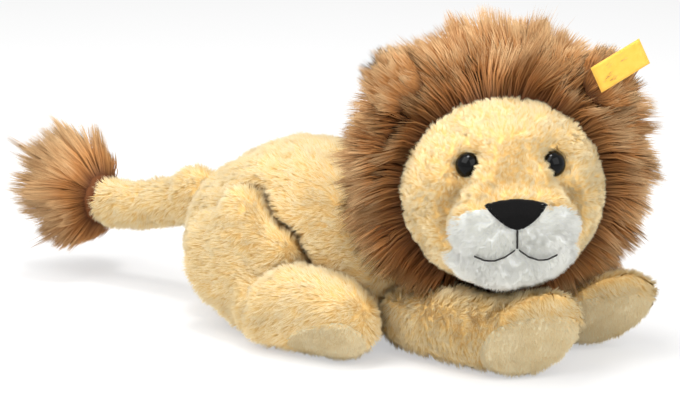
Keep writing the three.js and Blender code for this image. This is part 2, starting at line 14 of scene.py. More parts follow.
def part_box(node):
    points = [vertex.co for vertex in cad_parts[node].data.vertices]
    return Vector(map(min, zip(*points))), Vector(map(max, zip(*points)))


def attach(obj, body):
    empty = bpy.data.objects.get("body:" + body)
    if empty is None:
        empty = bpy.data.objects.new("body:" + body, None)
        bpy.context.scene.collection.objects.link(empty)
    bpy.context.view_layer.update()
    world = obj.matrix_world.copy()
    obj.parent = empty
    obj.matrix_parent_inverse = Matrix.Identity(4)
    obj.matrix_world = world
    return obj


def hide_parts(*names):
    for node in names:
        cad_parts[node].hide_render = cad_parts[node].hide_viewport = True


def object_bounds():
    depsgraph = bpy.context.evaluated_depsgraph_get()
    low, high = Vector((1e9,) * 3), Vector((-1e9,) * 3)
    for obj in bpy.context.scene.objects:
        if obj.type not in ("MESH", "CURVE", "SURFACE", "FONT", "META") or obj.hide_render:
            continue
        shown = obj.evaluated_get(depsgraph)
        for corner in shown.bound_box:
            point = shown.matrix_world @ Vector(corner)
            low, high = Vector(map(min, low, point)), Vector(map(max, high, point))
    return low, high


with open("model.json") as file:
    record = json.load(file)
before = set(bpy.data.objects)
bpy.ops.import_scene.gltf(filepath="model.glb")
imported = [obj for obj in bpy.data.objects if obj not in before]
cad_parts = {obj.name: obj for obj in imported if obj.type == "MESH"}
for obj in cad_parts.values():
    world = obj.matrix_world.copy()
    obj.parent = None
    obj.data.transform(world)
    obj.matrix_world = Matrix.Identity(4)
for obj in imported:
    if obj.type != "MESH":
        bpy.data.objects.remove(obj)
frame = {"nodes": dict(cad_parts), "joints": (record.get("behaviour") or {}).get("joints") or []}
cad_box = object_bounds()

MM = 0.001
WELD = 0.01 * MM  # corners closer than this are one
UP = Vector((0, 0, 1))
PILE_MAP = "OFBake"  # every hair lies on it: its tone across, root to tip upwards
SIDES = ("right", "left")
WAY = {"right": -1, "left": 1}

# The head's own frame: forward out of the face, aside to the left ear, up
LIFT = next(j for j in frame["joints"] if j["name"] == "head_lift")
FORWARD = UP.cross(Vector(LIFT["axis"])).normalized()
ASIDE = UP.cross(FORWARD)
HEAD_MIDDLE = Vector((108, -8, 95)) * MM
HEAD_FRAME = Matrix((FORWARD, ASIDE, UP)).transposed()


def in_head(forward, aside, up):
    """A place or way that is given in millimetres of the head's own frame, without the head's place."""
    return HEAD_FRAME @ (Vector((forward, aside, up)) * MM)


def on_head(forward, aside, up):
    return HEAD_MIDDLE + in_head(forward, aside, up)


def seen_from_head(points):
    """Points in metres as forward, aside and up of the head's middle, in millimetres."""
    return (points - np.array(HEAD_MIDDLE)) @ np.array(HEAD_FRAME) / MM


# Materials
def linear(code):
    """A colour such as e3be78 as linear numbers."""
    parts = [int(code[i:i + 2], 16) / 255 for i in (0, 2, 4)]
    return tuple(c / 12.92 if c <= 0.04045 else ((c + 0.055) / 1.055) ** 2.4 for c in parts)


class Wire:
    """An output of a node, which adds and multiplies as a number does."""

    def __init__(self, finish, socket):
        self.finish, self.socket = finish, socket

    def worked(self, operation, other):
        return self.finish.add("Math", {0: self, 1: other}, operation=operation)["Value"]

    def __add__(self, other):
        return self.worked("ADD", other)

    def __mul__(self, other):
        return self.worked("MULTIPLY", other)


class Made:
    """A node whose outputs are found by name."""

    def __init__(self, finish, node):
        self.finish, self.node = finish, node

    def __getitem__(self, name):
        return Wire(self.finish, self.node.outputs[name])


class Finish:
    """A material that is put together node by node round one shader."""

    def __init__(self, name, **even):
        self.material = bpy.data.materials.new(name)
        self.material.use_nodes = True
        self.tree = self.material.node_tree
        self.tree.nodes.clear()
        self.shader = self.add("BsdfPrincipled", {k.replace("_", " "): v for k, v in even.items()})
        self.add("OutputMaterial", {"Surface": self.shader["BSDF"]})

    def add(self, kind, values={}, stops=(), **settings):
        """A node of a kind: first its settings and ramp stops, then its sockets' values or links."""
        node = self.tree.nodes.new("ShaderNode" + kind)
        for key, value in settings.items():
            setattr(node, key, value)
        for i, (place, colour) in enumerate(stops):
            element = node.color_ramp.elements[i] if i < 2 else node.color_ramp.elements.new(place)
            element.position, element.color = place, (*colour, 1)
        for key, value in values.items():
            socket = node.inputs[key]
            if isinstance(value, Wire):
                self.tree.links.new(value.socket, socket)
            else:
                socket.default_value = (*value, 1) if socket.type == "RGBA" else value
        return Made(self, node)

    def mixed(self, share, first, second):
        values = {0: share, 6: first, 7: second}
        node = self.add("Mix", values, data_type="RGBA")
        return Wire(self, node.node.outputs[2])

    def noise(self, place, size, detail=2.0):
        values = {"Vector": place, "Scale": 1 / size, "Detail": detail}
        return self.add("TexNoise", values)["Fac"]

    def place(self):
        return self.add("TexCoord")["Object"]

    def give(self, **links):
        for key, wire in links.items():
            self.tree.links.new(wire.socket, self.shader.node.inputs[key.replace("_", " ")])
        return self.material


def pile_finish(name, root, middle, tip, deep, pale, middle_at=0.4, shine=0.12):
    """Hair that pales from root to tip, and from hair to hair between a deep and a pale tone."""
    finish = Finish(name, Roughness=0.6, Specular_IOR_Level=shine)
    hair = finish.add("SeparateXYZ", {0: finish.add("UVMap", uv_map=PILE_MAP)["UV"]})
    stops = [(0.05, linear(root)), (0.95, linear(tip)), (middle_at, linear(middle))]
    along = finish.add("ValToRGB", {"Fac": hair["Y"]}, stops)["Color"]
    tone = finish.add("ValToRGB", {"Fac": hair["X"]}, [(0, linear(deep)), (1, linear(pale))])["Color"]
    colour = finish.add("Mix", {0: 1.0, 6: along, 7: tone}, data_type="RGBA", blend_type="MULTIPLY")
    return finish.give(Base_Color=Wire(finish, colour.node.outputs[2]))


def cloth_finish(name, dark, light, size=4 * MM, rise=0.3 * MM):
    """Knitted backing or short nap, mottled and softly rough."""
    finish = Finish(name, Roughness=0.9, Specular_IOR_Level=0.1)
    place = finish.place()
    fine = finish.noise(place, size / 8)
    colour = finish.mixed(finish.noise(place, size) * 0.6 + fine * 0.4, linear(dark), linear(light))
    bump = finish.add("Bump", {"Height": fine, "Strength": 0.5, "Distance": rise})["Normal"]
    return finish.give(Base_Color=colour, Normal=bump)


def gloss_finish(name, colour, roughness, shine=0.5):
    """Moulded plastic with faint clouding in its shine."""
    finish = Finish(name, Specular_IOR_Level=shine)
    clouds = finish.noise(finish.place(), 3 * MM)
    return finish.give(
        Base_Color=finish.mixed(clouds, linear(colour), tuple(1.3 * c for c in linear(colour))),
        Roughness=clouds * 0.06 + roughness,
    )


# Pile colours: a hair's root, middle and tip, then the tones of the deepest and the palest hair
GOLDEN = pile_finish(
    "golden_pile", "efbf72", "fbdea0", "fff4d6", "f8e8ca", "ffffff", middle_at=0.38, shine=0.0
)
WHITE = pile_finish("white_pile", "e2e4da", "fafaf4", "fffffa", "f6f6f0", "ffffff")
CREAM = pile_finish("cream_pile", "e6cf9c", "f2dfb6", "fbeeca", "f4e8d0", "ffffff")
BROWN = pile_finish(
    "mane_pile", "624024", "c8925c", "fce0b6", "bca07e", "fff6e8", middle_at=0.5, shine=0.2
)
TUFT = pile_finish(
    "tuft_pile", "70482a", "d09a62", "fcdfb4", "c4a888", "fff6e8", middle_at=0.45, shine=0.2
)
GOLDEN_CLOTH = cloth_finish("golden_backing", "ecc076", "f6d594")
BROWN_CLOTH = cloth_finish("brown_backing", "5a3520", "7a4c2e")
CREAM_CLOTH = cloth_finish("cream_backing", "e6d9b2", "f2e8ca")
WHITE_CLOTH = cloth_finish("white_backing", "e6e8e5", "f4f5f3")
FILLING = cloth_finish("stuffing_fibre", "e2e1da", "f4f3ee", size=9 * MM)


# Pieces
def shown(name, mesh, material):
    piece = bpy.data.objects.new(name, mesh)
    bpy.context.scene.collection.objects.link(piece)
    mesh.materials.clear()
    mesh.materials.append(material)
    mesh.shade_smooth()
    return piece


def from_bmesh(name, bm, material):
    mesh = bpy.data.meshes.new(name)
    bm.to_mesh(mesh)
    bm.free()
    return shown(name, mesh, material)


def work_in_modifiers(piece):
    """Turns what a piece's modifiers show into its own mesh."""
    evaluated = piece.evaluated_get(bpy.context.evaluated_depsgraph_get())
    mesh = bpy.data.meshes.new_from_object(evaluated)
    piece.modifiers.clear()
    old, piece.data = piece.data, mesh
    bpy.data.meshes.remove(old)


def merged_nodes(nodes):
    """CAD solids in one bmesh, with the corners of each joined."""
    bm = bmesh.new()
    for node in nodes:
        bm.from_mesh(frame["nodes"][node].data)
    bmesh.ops.remove_doubles(bm, verts=bm.verts, dist=WELD)
    return bm


def keep_outer_shell(bm):
    """Drops every shell but the largest."""
    unseen, shells = set(bm.verts), []
    while unseen:
        shell, edge = set(), [unseen.pop()]
        while edge:
            vert = edge.pop()
            shell.add(vert)
            for other in (e.other_vert(vert) for e in vert.link_edges):
                if other in unseen:
                    unseen.discard(other)
                    edge.append(other)
        shells.append(shell)
    largest = max(shells, key=len)
    bmesh.ops.delete(bm, geom=[v for v in bm.verts if v not in largest], context="VERTS")


def smooth(bm, verts, factor):
    bmesh.ops.smooth_vert(
        bm, verts=verts, factor=factor, use_axis_x=True, use_axis_y=True, use_axis_z=True
    )


def soften(bm, rounds):
    for _ in range(rounds):
        smooth(bm, bm.verts, 0.5)
    bm.normal_update()


RAY_START = 0.2  # how far under a skin a ray starts, in millimetres
RAY_LENGTH = 200  # in millimetres: a corner whose far side lies beyond this stays in place
PATH_STEPS = 8  # steps from one stop of a dent's path to the next


def draw_in(bm, depth, most=0.35):
    """Moves a skin in along its normals by one depth or one for each corner, in millimetres, but
    by no more than a share of how thick it is there."""
    tree = BVHTree.FromBMesh(bm)
    depths = np.broadcast_to(depth, len(bm.verts)) * MM
    places = []
    for vert, wanted in zip(bm.verts, depths):
        start = vert.co - vert.normal * RAY_START * MM
        thickness = tree.ray_cast(start, -vert.normal, RAY_LENGTH * MM)[3] or 0.0
        places.append(vert.co - vert.normal * min(wanted, thickness * most))
    for vert, place in zip(bm.verts, places):
        vert.co = place
    bm.normal_update()


def stuffed_skin(name, nodes, material, voxel=2.6, rounds=10, inset=2.9, shaping=None, beyond=()):
    """A smooth skin over CAD solids, drawn in by the height of its pile, in millimetres.
    Of a pad, only what lies beyond its planes is kept, and closed there."""
    mesh = bpy.data.meshes.new(name)
    bm = merged_nodes(nodes)
    bm.to_mesh(mesh)
    bm.free()
    piece = shown(name, mesh, material)
    remesh = piece.modifiers.new("remesh", "REMESH")
    remesh.mode = "VOXEL"
    remesh.voxel_size = voxel * MM
    work_in_modifiers(piece)
    bm = bmesh.new()
    bm.from_mesh(piece.data)
    keep_outer_shell(bm)
    soften(bm, rounds)
    draw_in(bm, inset)
    if shaping:
        shaping(bm)
    soften(bm, rounds=2)
    for at, facing in beyond:
        cut = bmesh.ops.bisect_plane(
            bm, geom=[*bm.verts, *bm.edges, *bm.faces], plane_co=at, plane_no=facing, clear_inner=True
        )
        edges = [e for e in cut["geom_cut"] if isinstance(e, bmesh.types.BMEdge)]
        bmesh.ops.holes_fill(bm, edges=edges)
    if beyond:
        bmesh.ops.triangulate(bm, faces=[f for f in bm.faces if len(f.verts) > 4])
        bmesh.ops.remove_doubles(bm, verts=bm.verts, dist=WELD)
        bmesh.ops.recalc_face_normals(bm, faces=bm.faces)
    if bm.calc_volume(signed=True) < 0:
        bmesh.ops.reverse_faces(bm, faces=bm.faces)
    bm.to_mesh(piece.data)
    bm.free()
    piece.data.materials.clear()
    piece.data.materials.append(material)
    piece.data.shade_smooth()
    return piece


def pressed_in(bm, dents):
    """Presses dents into a skin, or swells it where they are negative: each follows a path of
    places, with its width and depth in millimetres."""
    at = np.array([v.co for v in bm.verts])
    depth = np.zeros(len(at))
    for path, wide, deep in dents:
        stops = np.array(path)
        share = np.linspace(0, len(stops) - 1, PATH_STEPS * (len(stops) - 1) + 1)
        line = np.stack([np.interp(share, range(len(stops)), stops[:, k]) for k in range(3)], 1)
        gap = np.linalg.norm(at[:, None] - line[None], axis=2).min(1) / (wide * MM)
        depth += deep * np.exp(-gap * gap)
    draw_in(bm, depth)


def pressed_at(bm, at, facing, wide, deep):
    """Presses a groove where a skin crosses a plane, as a seam draws it in."""
    gap = np.array([(v.co - at).dot(facing) for v in bm.verts]) / (wide * MM)
    draw_in(bm, deep * np.exp(-gap * gap))


# Pile
def hair_shape(heights):
    """One hair: a closed three-sided spike from 0 to 1, its ridge outwards, ringed at each height."""
    bm = bmesh.new()
    bmesh.ops.create_cone(
        bm, cap_ends=True, segments=3, radius1=1, radius2=0, depth=1,
        matrix=Matrix.Translation((0, 0, 0.5)) @ Matrix.Rotation(math.pi, 4, "Z"),
    )
    bmesh.ops.remove_doubles(bm, verts=bm.verts, dist=0.001)
    for height in heights:
        bmesh.ops.bisect_plane(
            bm, geom=[*bm.verts, *bm.edges, *bm.faces], plane_co=(0, 0, height), plane_no=(0, 0, 1)
        )
    bmesh.ops.triangulate(bm, faces=bm.faces)
    bmesh.ops.recalc_face_normals(bm, faces=bm.faces)
    places = np.array([v.co for v in bm.verts])
    faces = np.array([[v.index for v in f.verts] for f in bm.faces])
    bm.free()
    return places, faces


SHORT_HAIR = hair_shape([])
LONG_HAIR = hair_shape([0.45])  # a ring near its middle lets it bend
WAVE_COUNT = 14
SKY_WAYS = 10  # ways that are looked along for the open share of the sky
TAPER = 0.45  # the lower, the longer a hair keeps its thickness
SKIN_SHARE, HAIR_SHARE, RUN_SHARE = 0.75, 0.4, 0.15  # what a hair's shading follows
ROOT_SUNK = 0.5  # how far under the skin a short hair starts, in millimetres
TIP_OVER_FLOOR, BEND_OVER_FLOOR = 0.4, 0.5  # in millimetres


def unit(vectors):
    return vectors / np.maximum(np.linalg.norm(vectors, axis=-1, keepdims=True), 1e-12)


def waves(points, size, seed):
    """A smooth field of about unit height over the points, with swells of a size in millimetres."""
    rng = np.random.default_rng(seed)
    ways = unit(rng.normal(size=(WAVE_COUNT, 3))) * rng.uniform(0.5, 1.5, (WAVE_COUNT, 1))
    ways = ways * math.tau / (size * MM)
    starts = rng.uniform(0, math.tau, WAVE_COUNT)
    return np.sin(points @ ways.T + starts).sum(1) / math.sqrt(WAVE_COUNT / 2)


def arrays_of(piece):
    """A skin's corners, normals and triangles."""
    mesh = piece.data
    mesh.calc_loop_triangles()
    places = np.empty(len(mesh.vertices) * 3)
    mesh.vertices.foreach_get("co", places)
    normals = np.empty(len(mesh.vertices) * 3)
    mesh.vertices.foreach_get("normal", normals)
    corners = np.empty(len(mesh.loop_triangles) * 3, np.int32)
    mesh.loop_triangles.foreach_get("vertices", corners)
    return places.reshape(-1, 3), normals.reshape(-1, 3), corners.reshape(-1, 3)


def scattered(piece, count, weights, rng):
    """Roots spread over a skin by its weights: places, normals, corners and each corner's share."""
    places, normals, corners = arrays_of(piece)
    a, b, c = (places[corners[:, i]] for i in range(3))
    area = np.linalg.norm(np.cross(b - a, c - a), axis=1) * weights[corners].mean(1)
    chosen = rng.choice(len(corners), count, p=area / area.sum())
    u, v = rng.uniform(size=(2, count))
    over = u + v > 1
    u[over], v[over] = 1 - u[over], 1 - v[over]
    share = np.stack([1 - u - v, u, v], 1)[:, :, None]
    at = (places[corners[chosen]] * share).sum(1)
    facing = unit((normals[corners[chosen]] * share).sum(1))
    return at, facing, corners[chosen], share[:, :, 0]


class Room:
    """How much space each corner of a skin has before it meets another one or the floor."""

    def __init__(self, skins):
        verts, faces = [], []
        for skin in skins:
            start = len(verts)
            verts += [v.co.copy() for v in skin.data.vertices]
            faces += [[start + i for i in p.vertices] for p in skin.data.polygons]
        start = len(verts)
        verts += [Vector((x, y, 0)) for x, y in ((-1, -1), (1, -1), (1, 1), (-1, 1))]
        faces.append([start, start + 1, start + 2, start + 3])
        self.tree = BVHTree.FromPolygons(verts, faces)
        rng = np.random.default_rng(5)
        self.ways = [Vector(w) for w in unit(rng.normal(size=(SKY_WAYS, 3)))]

    def over(self, skin, far=28 * MM):
        """The open share of the sky over each corner, and the straight way out, up to far."""
        opens, straights = [], []
        for vert in skin.data.vertices:
            start = vert.co + vert.normal * 1.2 * MM
            hit = self.tree.ray_cast(start, vert.normal, far)[3]
            straights.append(far if hit is None else hit)
            clear = 0
            for way in self.ways:
                up = (way + vert.normal * 1.1).normalized()
                clear += self.tree.ray_cast(start, up, far)[0] is None
            opens.append(clear / len(self.ways))
        return np.array(opens), np.array(straights)


def clumped(roots, tips, spacing, hold, rng):
    """Tips drawn together in groups of a size, as pile parts into locks, and each hair's group."""
    count = max(int(len(roots) / spacing), 1)
    chosen = rng.choice(len(roots), count, replace=False)
    tree = KDTree(count)
    for i, j in enumerate(chosen):
        tree.insert(roots[j], i)
    tree.balance()
    nearest = np.array([tree.find(p)[1] for p in roots])
    leader = chosen[nearest]
    pull = hold * rng.uniform(0.6, 1.0, len(roots))[:, None]
    return tips * (1 - pull) + tips[leader] * pull, nearest


def grow(name, shape, roots, bends, tips, normals, thick, tones, material, body):
    """Hairs from roots to tips as one piece, each bent towards a point and shaded partly as its skin."""
    places, faces = shape
    n, m = len(roots), len(places)
    run = unit(tips - roots)
    side = unit(np.cross(run, normals + 0.01))
    other = np.cross(run, side)
    height = places[:, 2][None, :, None]
    path = ((1 - height) ** 2 * roots[:, None] + 2 * height * (1 - height) * bends[:, None]
            + height ** 2 * tips[:, None])
    angle = np.arctan2(places[:, 1], places[:, 0])
    full = np.where(places[:, 2] > 0.999, 0, (1 - places[:, 2]) ** TAPER)
    x = (np.cos(angle) * full)[None, :, None] * side[:, None]
    y = (np.sin(angle) * full)[None, :, None] * other[:, None]
    verts = path + (x + y) * (thick / 2)[:, None, None]
    all_faces = (faces[None] + (np.arange(n) * m)[:, None, None]).reshape(-1, 3)
    mesh = bpy.data.meshes.new(name)
    mesh.vertices.add(n * m)
    mesh.vertices.foreach_set("co", verts.astype(np.float32).ravel())
    mesh.loops.add(all_faces.size)
    mesh.loops.foreach_set("vertex_index", all_faces.astype(np.int32).ravel())
    mesh.polygons.add(len(all_faces))
    mesh.polygons.foreach_set("loop_start", np.arange(0, all_faces.size, 3, dtype=np.int32))
    mesh.update(calc_edges=True)
    u = 0.06 + 0.88 * tones[:, None] + 0.01 * places[:, 0][None]
    v = 0.04 + 0.9 * places[:, 2][None] + 0.01 * places[:, 1][None] + 0 * tones[:, None]
    uv = np.stack([u, v], 2).reshape(-1, 2)[all_faces.ravel()]
    layer = mesh.uv_layers.new(name=PILE_MAP)
    layer.uv.foreach_set("vector", uv.astype(np.float32).ravel())
    piece = shown(name, mesh, material)
    cos, sin = np.cos(angle)[None, :, None], np.sin(angle)[None, :, None]
    outward = unit(cos * side[:, None] + sin * other[:, None])
    soft = unit(normals[:, None] * SKIN_SHARE + outward * HAIR_SHARE + run[:, None] * RUN_SHARE)
    mesh.normals_split_custom_set_from_vertices(soft.reshape(-1, 3))
    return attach(piece, body)


def combed(name, skin, room, flow, material, body, seed, per_mm2=1.95, long=6.0, thick=0.62,
           lean=0.58, keep=None, lock=15, hold=0.4, swirl=0.3, crinkle=0.12, most=48000):
    """Short pile over a skin, combed along a flow, shorter where there is little room for it.
    Length and thickness are in millimetres, and no piece has more hairs than most."""
    rng = np.random.default_rng(seed)
    places, _, corners = arrays_of(skin)
    opens, straights = room
    weights = np.clip((opens + 0.15) / 0.4, 0.3, 1)
    if keep is not None:
        weights = weights * keep(places)
    a, b, c = (places[corners[:, i]] for i in range(3))
    area = (np.linalg.norm(np.cross(b - a, c - a), axis=1) / 2 * weights[corners].mean(1)).sum()
    count = int(per_mm2 * area / MM ** 2)
    roots, normals, corner, share = scattered(skin, count, weights, rng)
    free = (straights[corner] * share).sum(1)
    way = flow(roots)
    way = unit(way - normals * (way * normals).sum(1)[:, None])
    cross = np.cross(normals, way)
    turn = swirl * waves(roots, 26, seed + 1) + crinkle * waves(roots, 5, seed + 6)
    turn = turn + rng.normal(0, 0.3, count)
    way = way * np.cos(turn)[:, None] + cross * np.sin(turn)[:, None]
    tilt = np.clip(lean + 0.07 * waves(roots, 12, seed + 2) + rng.normal(0, 0.1, count), 0.1, 0.85)
    length = long * MM * (1 + 0.08 * waves(roots, 8, seed + 3)) * rng.uniform(0.75, 1.12, count)
    length = np.minimum(length, free * 0.85 + 2.2 * MM)
    straight = unit(normals * (1 - tilt)[:, None] + way * tilt[:, None])
    tips = roots + straight * length[:, None]
    tips, lock_of = clumped(roots, tips, lock, hold, rng)
    tips[:, 2] = np.maximum(tips[:, 2], TIP_OVER_FLOOR * MM)
    bends = roots + (tips - roots) * 0.45 + normals * (length * 0.22)[:, None]
    bends[:, 2] = np.maximum(bends[:, 2], BEND_OVER_FLOOR * MM)
    shades = 0.55 + 0.1 * waves(roots, 15, seed + 4) + 0.09 * rng.normal(size=lock_of.max() + 1)[lock_of]
    shades = np.clip(shades + rng.normal(0, 0.12, count), 0, 1)
    roots = roots - normals * ROOT_SUNK * MM
    thicks = thick * MM * rng.uniform(0.8, 1.2, count)
    order = np.argsort(roots[:, 0], kind="stable")
    pieces = []
    parts = np.array_split(order, math.ceil(count / most))
    for i, part in enumerate(parts):
        label = name if len(parts) == 1 else f"{name}_{i + 1}"
        pieces.append(grow(label, SHORT_HAIR, roots[part], bends[part], tips[part], normals[part],
                           thicks[part], shades[part], material, body))
    return pieces


def along(x, y, z):
    """A flow that runs one way everywhere."""
    return lambda points: np.tile(np.array([x, y, z], float), (len(points), 1))


def away_from(place):
    """A flow that runs out from a place."""
    return lambda points: unit(points - np.array(place))


def padded_piece(skin, body, nodes):
    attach(skin, body)
    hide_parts(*nodes)
    return skin


HIT_STEP = 0.01  # how far beyond a crossing the next ray starts, in millimetres
FILLING_INSET = 3.4  # under its skin, in millimetres
FILLING_UNDER = 1.2  # the least that it stays under it


def lies_inside(tree, place):
    """Whether two of three ways out of a place cross the skin an odd number of times."""
    odd = 0
    for way in (Vector((0.98, 0.1, 0.17)), Vector((-0.28, 0.95, 0.1)), Vector((0.1, -0.19, 0.98))):
        crossings, at = 0, place.copy()
        while crossings < 20:
            hit = tree.ray_cast(at, way)[0]
            if hit is None:
                break
            crossings, at = crossings + 1, hit + way * HIT_STEP * MM
        odd += crossings % 2
    return odd >= 2


def stuffing(skin, node, body):
    """The filling under a skin, as the skin drawn in a little further and kept under it everywhere."""
    bm = bmesh.new()
    bm.from_mesh(skin.data)
    bm.normal_update()
    tree = BVHTree.FromBMesh(bm)
    draw_in(bm, FILLING_INSET, most=0.45)
    for _ in range(4):
        soften(bm, 3)
        for vert in bm.verts:
            near, facing, _, _ = tree.find_nearest(vert.co)
            depth = (near - vert.co).dot(facing)
            if depth < FILLING_UNDER * MM:
                vert.co = near - facing * FILLING_UNDER * MM
    for _ in range(12):
        astray = [vert for vert in bm.verts if not lies_inside(tree, vert.co)]
        ring = {other for vert in astray for edge in vert.link_edges for other in edge.verts}
        smooth(bm, list(ring), 0.8)
    piece = from_bmesh(f"{node}_fibre", bm, FILLING)
    return padded_piece(piece, body, [node])


# Skins
LEGS = [f"{end}_leg_{side}" for end in ("front", "hind") for side in SIDES]
SEAM_INSET = 2.6  # how far a sole's seam is drawn in, in millimetres
EYE_SINK = 6.0  # how much further in the eyes sit than their solids, in millimetres
EYE_FORWARD, EYE_OUT, EYE_UP = 41, 26, 24
EYE_TURN, EYE_TILT = 32, 22  # degrees
EYE_RADIUS, EYE_RISE, EYE_BACK, EYE_FLAT = 7, 6.5, -1.5, 6.6  # of the dome, in millimetres
EYE_CLEAR = 7.2  # no hair starts nearer to the middle of the dome's back
EYE_PLACES = {side: on_head(EYE_FORWARD, WAY[side] * EYE_OUT, EYE_UP) for side in SIDES}


def eye_facing(side):
    turn, tilt = math.radians(WAY[side] * EYE_TURN), math.radians(EYE_TILT)
    facing = Vector((math.cos(tilt) * math.cos(turn), math.cos(tilt) * math.sin(turn), math.sin(tilt)))
    return (HEAD_FRAME @ facing).normalized()


def trail(side, *places):
    """Places on the lion's right in millimetres, mirrored for its left."""
    return [Vector((x, -WAY[side] * y, z)) * MM for x, y, z in places]


def shape_head(bm):
    """The snout's dome, the creases that set the cheeks off from it, the sockets and the smile."""
    dents = [
        ([on_head(48, 0, 30), on_head(54, 0, 16), on_head(60, 0, 8)], 14, -3.0),
        ([on_head(65, 0, -8), on_head(65, 0, -19)], 3.2, 2.0),
    ]
    for side in SIDES:
        way = WAY[side]
        dents += [
            ([EYE_PLACES[side]], 10.5, 6.1),
            ([on_head(44, way * 19, 38), on_head(43, way * 19, 27)], 3.2, 3.2),  # the brow's seam
            ([on_head(42, way * 23, 13), on_head(41.5, way * 32, 3), on_head(40.5, way * 36, -10),
              on_head(47, way * 34, -22)], 5, 7.0),  # the cheek's seam
            ([on_head(48, way * 17, 15), on_head(52, way * 24, -1)], 8.5, -6.0),
            ([on_head(64, 0, -17), on_head(63, way * 11, -22), on_head(59, way * 22, -20)], 3.4, 1.8),
            ([on_head(59, way * 14, -10)], 11, -2.6),  # the muzzle's puffs
            ([on_head(49, way * 31, -12)], 8, -2.5),
        ]
    pressed_in(bm, dents)


def shape_hind_leg(side):
    """The fold round the rear of the foot, and the short seam at its toe."""
    fold = trail(side, (-20, -78, 8), (-18, -78, 18), (-15, -76, 29), (-12.5, -69.5, 40), (-3.5, -63.5, 47),
                 (4, -51, 49), (8, -40, 47))
    toe = trail(side, (55, -70, 32), (56, -72, 20))

    def shape(bm):
        pressed_in(bm, [(fold, 4.5, 5.0), (toe, 2.5, 1.5)])

    return shape


def leg_nodes(leg):
    return [f"{leg}_cover", f"{leg}_filling", f"{leg}_sole"]


def sole_plane(leg):
    """A point on the flat seam of a sole and the way it faces, drawn in as far as the skins are."""
    bm = merged_nodes([f"{leg}_sole"])
    flats = {}
    for face in bm.faces:
        flats.setdefault(tuple(round(x, 2) for x in face.normal), []).append(face)
    flat = max(flats.values(), key=lambda faces: sum(f.calc_area() for f in faces))
    at, facing = flat[0].calc_center_median().copy(), -flat[0].normal.copy()
    bm.free()
    return at - facing * SEAM_INSET * MM, facing


def shape_leg(leg):
    end, _, side = leg.split("_")
    if end == "hind":
        return shape_hind_leg(side)
    return lambda bm: pressed_at(bm, *sole_plane(leg), wide=2.2, deep=1.0)


skins = {
    "torso": stuffed_skin("torso_skin", ["torso_cover", "torso_filling"], GOLDEN_CLOTH, rounds=22),
    "tail": stuffed_skin("tail_skin", ["tail_cover", "tail_filling"], GOLDEN_CLOTH, voxel=2.2, rounds=8),
    "head": stuffed_skin(
        "head_skin", ["head_cover", "muzzle_cover", "head_filling"], GOLDEN_CLOTH, voxel=2.2,
        shaping=shape_head,
    ),
}

for leg in LEGS:
    skins[leg] = stuffed_skin(
        f"{leg}_skin", leg_nodes(leg), GOLDEN_CLOTH, voxel=2.4, rounds=8, shaping=shape_leg(leg)
    )
space = Room(list(skins.values()))
rooms = {name: space.over(skin) for name, skin in skins.items()}


def dress_body():
    padded_piece(skins["torso"], "torso", ["torso_cover"])
    stuffing(skins["torso"], "torso_filling", "torso")
    combed("torso_pile", skins["torso"], rooms["torso"], along(-1, 0, -0.5), GOLDEN, "torso",
           seed=11)
    padded_piece(skins["tail"], "tail", ["tail_cover"])
    stuffing(skins["tail"], "tail_filling", "tail")
    combed("tail_pile", skins["tail"], rooms["tail"], along(-0.6, 0, -0.8), GOLDEN, "tail",
           long=5.6, seed=21)


def dress_leg(leg, seed):
    skin = skins[leg]
    padded_piece(skin, leg, [f"{leg}_cover"])
    stuffing(skin, f"{leg}_filling", leg)
    plane = sole_plane(leg)
    at, facing = (np.array(v) for v in plane)
    pad = stuffed_skin(
        f"{leg}_pad", leg_nodes(leg), CREAM_CLOTH, voxel=2.0, rounds=10, inset=2.2,
        shaping=shape_leg(leg), beyond=[plane],
    )
    padded_piece(pad, leg, [f"{leg}_sole"])

    def beside_the_pad(places):
        return ((places - at) @ facing < -0.2 * MM).astype(float)

    def on_the_pad(places):
        return ((places - at) @ facing > 0.2 * MM).astype(float)

    front = leg.startswith("front")  # its pile runs towards the toes, a hind leg's to the rear
    flow = along(0.8, 0, -0.6) if front else along(-0.9, 0, -0.45)
    combed(f"{leg}_pile", skin, rooms[leg], flow, GOLDEN, leg,
           keep=beside_the_pad, seed=seed)
    combed(f"{leg}_nap", pad, space.over(pad), along(-0.1, 0, -1), CREAM, leg,
           per_mm2=4.2, long=3.2, thick=0.44, lean=0.6, keep=on_the_pad, seed=seed + 5, lock=12, hold=0.2,
           swirl=0.15, crinkle=0.05)


MUZZLE_SEAM = on_head(56.5, 0, 1)
MUZZLE_FACING = (HEAD_FRAME @ Vector((0.8, 0.03, -0.6))).normalized()
MANE_EDGE = 4.0  # how far ahead of the head's middle the mane starts


def muzzle_share(places):
    """How far beyond the muzzle's seam a place lies, in millimetres."""
    return (places - np.array(MUZZLE_SEAM)) @ np.array(MUZZLE_FACING) / MM


def on_face(places):
    seen = seen_from_head(places)
    return ((seen[:, 0] > MANE_EDGE) & (muzzle_share(places) < 0.5)).astype(float)


def on_muzzle(places):
    return (muzzle_share(places) > 0).astype(float) * (seen_from_head(places)[:, 0] > 10)


